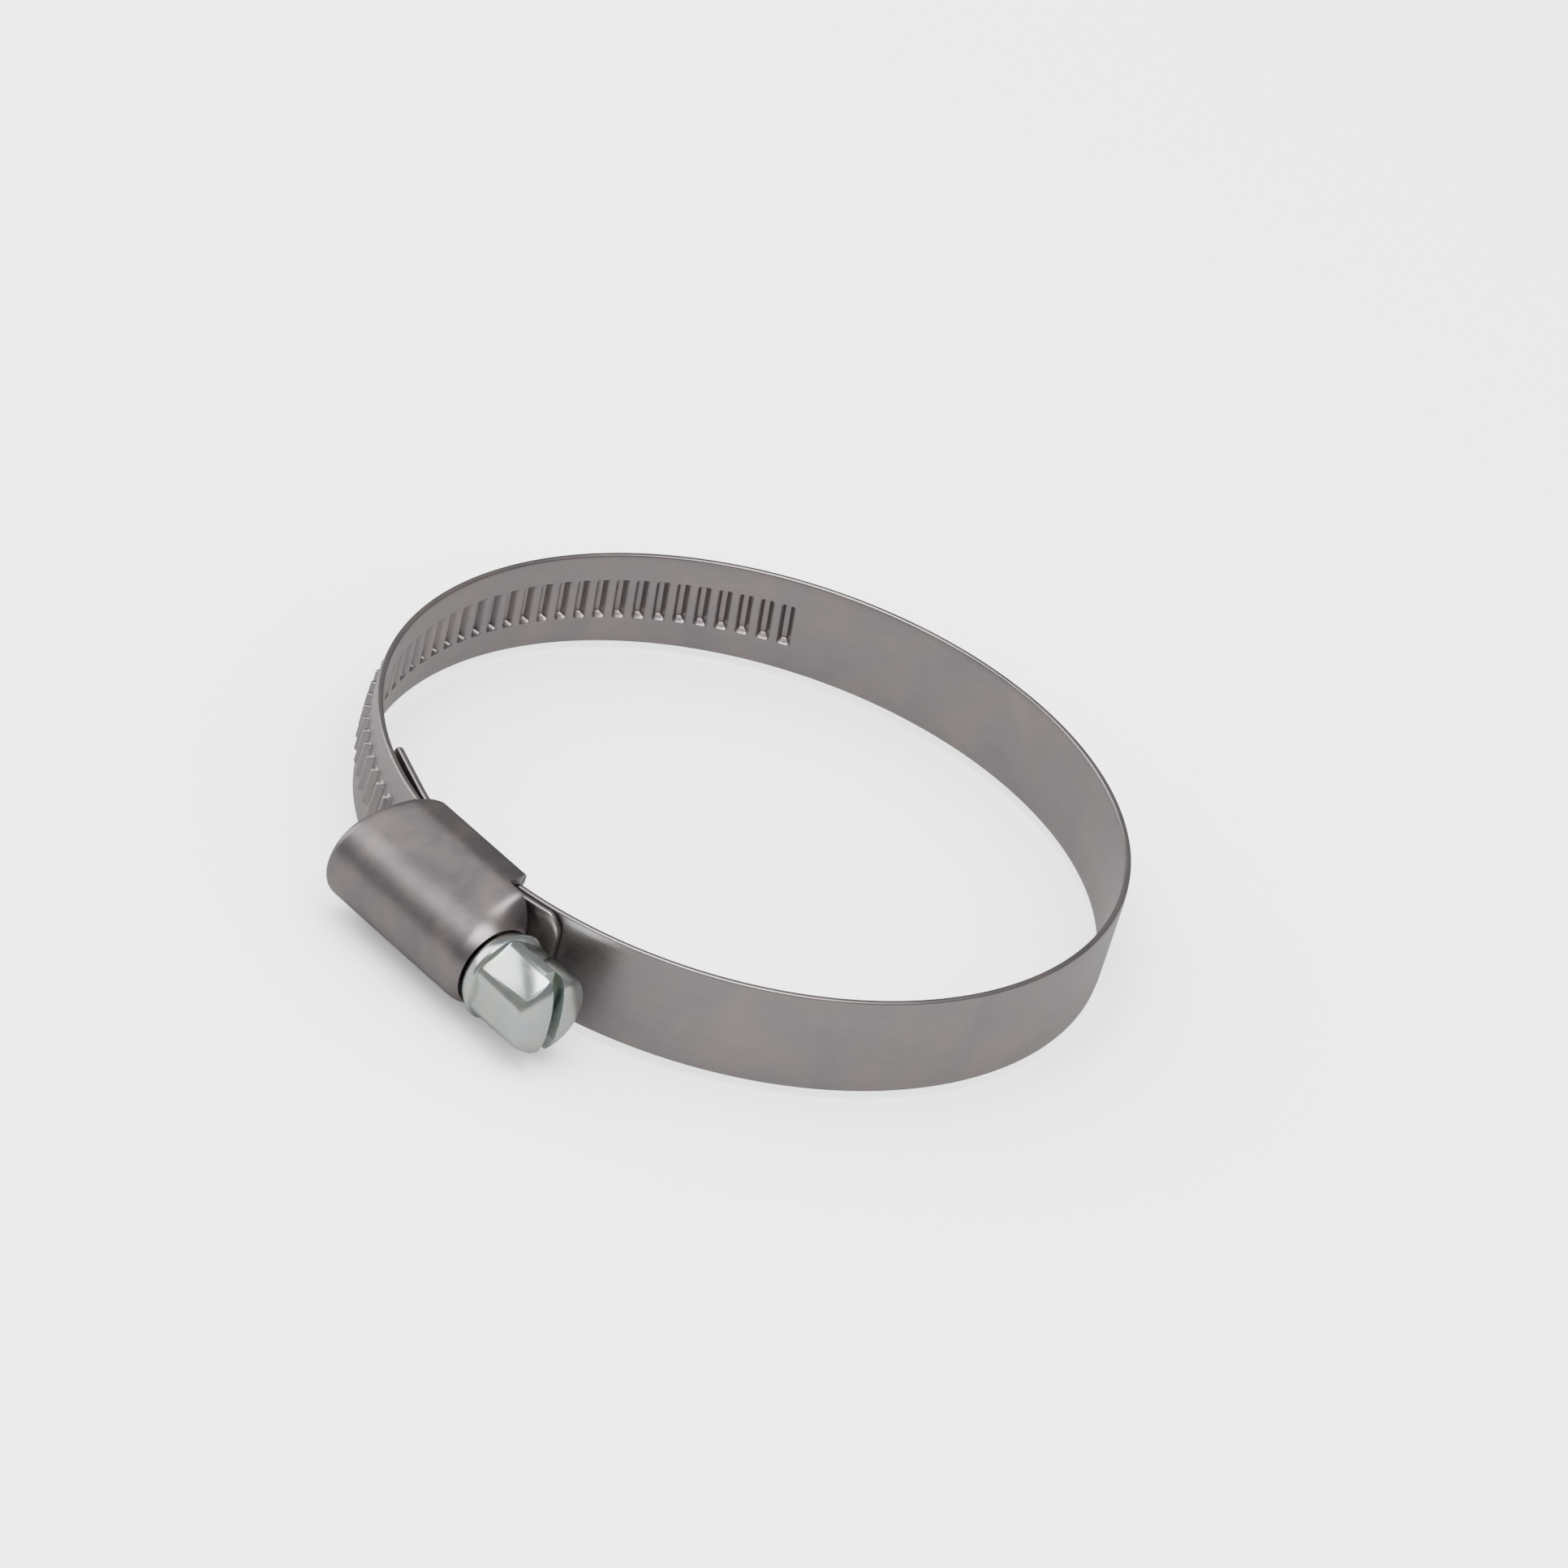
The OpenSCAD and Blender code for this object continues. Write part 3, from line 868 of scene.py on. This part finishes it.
def round_corners(obj, rounding):
    """Rounds the edges that run along the screw."""
    select_only(obj)
    bpy.ops.object.mode_set(mode="EDIT")
    bpy.ops.mesh.select_mode(type="EDGE")
    bpy.ops.mesh.select_all(action="DESELECT")
    mesh = bmesh.from_edit_mesh(obj.data)
    for edge in mesh.edges:
        run = edge.verts[0].co - edge.verts[1].co
        edge.select = abs(run.x) > 0.9 * run.length
    bpy.ops.mesh.bevel(offset=rounding, segments=4, affect="EDGES")
    bpy.ops.mesh.select_mode(type="VERT")
    bpy.ops.object.mode_set(mode="OBJECT")


def spin_about_screw(obj, turn):
    """Turns an object about the screw's axis and applies it."""
    select_only(obj)
    centre = Matrix.Translation((0, SCREW_Y, 0))
    obj.matrix_world = centre @ Matrix.Rotation(turn, 4, "X") @ centre.inverted() @ obj.matrix_world
    bpy.ops.object.transform_apply(location=True, rotation=True, scale=True)


def make_collar(sizes, hex_from):
    """Conical collar between the hexagon and the housing, with the stem behind it."""
    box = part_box("housing")
    radius = sizes.across_flats / math.sqrt(3)
    back = hex_from - sizes.collar_length
    stem, neck = 2.8 * MM, sizes.thread_radius - 0.6 * MM
    profile = [(box[1].x - 2.3 * MM, 0), (box[1].x - 2.3 * MM, neck), (box[1].x - 1.2 * MM, neck)]
    profile += [(box[1].x - 1.15 * MM, stem), (back, stem), (back, sizes.collar_back - 0.12 * MM)]
    profile += [(back + 0.04 * MM, sizes.collar_back - 0.04 * MM), (back + 0.12 * MM, sizes.collar_back)]
    profile += [(hex_from - 0.25 * MM, radius - 0.02 * MM), (hex_from - 0.1 * MM, radius - 0.02 * MM)]
    profile += [(hex_from + 0.05 * MM, radius - 0.12 * MM)]
    profile += [(hex_from + 0.3 * MM, sizes.across_flats / 2 - 0.1 * MM), (hex_from + 0.3 * MM, 0)]
    obj = lathe("screw_collar", profile)
    finish_piece(obj, metal("Screw zinc"), 28)
    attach(obj, "screw")


def make_worm():
    """Worm core with its pin, shoulder and neck, and the helical thread round it."""
    sizes = bpy.context.scene.hose_clamp.screw
    housing = bpy.context.scene.hose_clamp.housing
    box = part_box("housing")
    low, high = box[0].x, box[1].x
    core_from, shoulder = low + housing.sheet + 0.1 * MM, housing.wall_front
    pin, neck = sizes.thread_radius - MM, sizes.thread_radius - 0.6 * MM
    core, wide = sizes.core_radius, sizes.thread_radius - 0.15 * MM
    profile = [(low + 0.05 * MM, 0), (low + 0.05 * MM, pin - 0.15 * MM), (low + 0.2 * MM, pin)]
    profile += [(core_from, pin), (core_from, core), (shoulder - 0.01 * MM, core)]
    profile += [(shoulder, wide - 0.1 * MM)]
    profile += [(shoulder + 0.1 * MM, wide), (shoulder + 1.1 * MM, wide)]
    profile += [(shoulder + 1.2 * MM, wide - 0.1 * MM), (shoulder + 1.2 * MM, neck), (high - 1.2 * MM, neck), (high - 1.2 * MM, 0)]
    obj = lathe("screw_worm", profile)
    finish_piece(obj, metal("Screw zinc"), 30)
    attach(obj, "screw")
    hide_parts("screw")
    make_thread(sizes, core_from, shoulder)


def make_thread(sizes, core_from, shoulder):
    """Helical ridge of the worm, in step with the band's teeth."""
    band = bpy.context.scene.hose_clamp.band
    pitch = (OUTER_R + BAND_T + band.tooth_height / 2) * LINK / band.teeth_per_link
    foot, crest = sizes.thread_foot / 2, sizes.thread_crest / 2
    root = sizes.core_radius - 0.1 * MM
    first = core_from + sizes.thread_foot
    turns = (shoulder - sizes.thread_foot / 2 - first) / pitch
    rise = 0.8
    section = [(-foot, root), (-foot + (foot - crest) * rise, sizes.core_radius + 0.45 * MM)]
    section += [(-crest * 0.8, sizes.thread_radius), (crest * 0.8, sizes.thread_radius)]
    section += [(foot - (foot - crest) * rise, sizes.core_radius + 0.45 * MM), (foot, root)]
    turned = TURN * first / pitch
    points = [(x, out * math.cos(turned), out * math.sin(turned)) for x, out in section]
    obj = draw_line("screw_thread", points, closed=True)
    bpy.ops.object.mode_set(mode="OBJECT")
    apply_modifier(
        obj, "SCREW", axis="X", angle=TURN * turns, screw_offset=pitch * turns, iterations=1,
        steps=round(40 * turns), render_steps=round(40 * turns), use_smooth_shade=False,
    )
    bpy.ops.object.mode_set(mode="EDIT")
    close_solid()
    obj.location = (first, SCREW_Y, 0)
    finish_piece(obj, metal("Screw zinc"), 40)
    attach(obj, "screw")


# ---------------------------------------------------------------------------------------------
# Stage
# ---------------------------------------------------------------------------------------------

SKY, SKY_REFLECTED = 3.0, 0.3       # strength of the plain white sky, seen and in the metals


def seen_darker(tree, plain, reflected):
    """A number that changes for rays that leave a shiny surface."""
    path = tree.nodes.new("ShaderNodeLightPath")
    return math_node(tree, "MULTIPLY_ADD", path.outputs["Is Glossy Ray"], reflected - plain, plain)


def floor_material(colours):
    """A plain matt floor, which the metals reflect as a darker one."""
    material = bpy.data.materials.new("Floor")
    material.use_nodes = True
    tree = material.node_tree
    shader = tree.nodes["Principled BSDF"]
    link(tree, seen_darker(tree, colours.floor, colours.floor_reflected), shader.inputs["Base Color"])
    shader.inputs["Roughness"].default_value = 0.9
    return material


def soft_light(name, place, size, power):
    """A rectangular area light aimed at the clamp."""
    clear_selection()
    bpy.ops.object.light_add(type="AREA", location=place)
    light = bpy.context.object
    light.name = name
    light.data.shape = "RECTANGLE"
    light.data.size, light.data.size_y = size
    light.data.energy = power
    light.rotation_euler = (-Vector(place)).to_track_quat("-Z", "Y").to_euler()


def make_camera():
    """The camera: far off, looking down on the housing's corner and rolled a little."""
    distance, lens = 0.84154, 231.28
    turn, height = math.radians(39), math.radians(31.99)
    yaw, pitch, roll = 0.00253, -0.00413, -0.30288
    aim = Matrix.Rotation(turn, 3, "Z") @ Matrix.Rotation(math.radians(90) - height, 3, "X")
    clear_selection()
    bpy.ops.object.camera_add(location=aim @ Vector((0, 0, distance)))
    camera = bpy.context.object
    aim = aim @ Matrix.Rotation(-yaw, 3, "Y") @ Matrix.Rotation(-pitch, 3, "X")
    aim = aim @ Matrix.Rotation(-roll, 3, "Z")
    camera.rotation_euler = aim.to_euler()
    camera.data.lens = lens
    camera.data.clip_start, camera.data.clip_end = 0.05, 20
    bpy.context.scene.camera = camera


def make_stage():
    """Pale floor, soft lights and the camera."""
    colours = bpy.context.scene.hose_clamp.finishes
    clear_selection()
    bpy.ops.mesh.primitive_plane_add(size=6, location=(0, 0, CAD_BOX[0].z - 0.02 * MM))
    floor = bpy.context.object
    floor.name = "floor"
    floor.data.materials.append(floor_material(colours))
    world = bpy.context.scene.world or bpy.data.worlds.new("World")
    bpy.context.scene.world = world
    world.use_nodes = True
    background = world.node_tree.nodes.get("Background") or world.node_tree.nodes.new("ShaderNodeBackground")
    background.inputs[0].default_value = (1, 1, 1, 1)
    link(world.node_tree, seen_darker(world.node_tree, SKY, SKY_REFLECTED), background.inputs[1])
    soft_light("light_top", (0.1, -0.2, 0.9), (0.8, 0.8), 16)
    soft_light("light_left", (-0.9, -0.3, 0.5), (0.6, 0.9), 6)
    make_camera()


# ---------------------------------------------------------------------------------------------
# Operators, panel and registration
# ---------------------------------------------------------------------------------------------


class HOSECLAMP_OT_band(bpy.types.Operator):
    """Model the band, one piece for each hinge"""

    bl_idname = "hose_clamp.band"
    bl_label = "Band"

    def execute(self, context):
        for number in range(1, len(HINGES) + 1):
            band_piece(number)
        return {"FINISHED"}


class HOSECLAMP_OT_housing(bpy.types.Operator):
    """Model the folded sheet housing"""

    bl_idname = "hose_clamp.housing"
    bl_label = "Housing"

    def execute(self, context):
        make_housing()
        return {"FINISHED"}


class HOSECLAMP_OT_screw(bpy.types.Operator):
    """Model the screw: head, collar, worm and thread"""

    bl_idname = "hose_clamp.screw"
    bl_label = "Screw"

    def execute(self, context):
        make_worm()
        make_head()
        return {"FINISHED"}


class HOSECLAMP_OT_stage(bpy.types.Operator):
    """Set the floor, the soft lights and the camera"""

    bl_idname = "hose_clamp.stage"
    bl_label = "Stage"

    def execute(self, context):
        make_stage()
        return {"FINISHED"}


OPERATORS = (HOSECLAMP_OT_band, HOSECLAMP_OT_housing, HOSECLAMP_OT_screw, HOSECLAMP_OT_stage)


class HOSECLAMP_PT_panel(bpy.types.Panel):
    """The clamp's pieces and sizes, in the 3D view's sidebar"""

    bl_idname = "HOSECLAMP_PT_panel"
    bl_label = "Hose Clamp"
    bl_space_type = "VIEW_3D"
    bl_region_type = "UI"
    bl_category = "Hose Clamp"

    def draw(self, context):
        settings = context.scene.hose_clamp
        for operator in OPERATORS:
            self.layout.operator(operator.bl_idname)
        for group in (settings.band, settings.housing, settings.screw, settings.finishes):
            column = self.layout.column()
            for key in group.__annotations__:
                column.prop(group, key)


CLASSES = (BandSizes, HousingSizes, ScrewSizes, Finishes, ClampSettings, *OPERATORS, HOSECLAMP_PT_panel)


def register():
    for each in CLASSES:
        bpy.utils.register_class(each)
    bpy.types.Scene.hose_clamp = PointerProperty(type=ClampSettings)


def unregister():
    del bpy.types.Scene.hose_clamp
    for each in reversed(CLASSES):
        bpy.utils.unregister_class(each)


def main():
    register()
    bpy.ops.hose_clamp.stage()
    bpy.ops.hose_clamp.band()
    bpy.ops.hose_clamp.housing()
    bpy.ops.hose_clamp.screw()


if __name__ == "__main__":
    main()
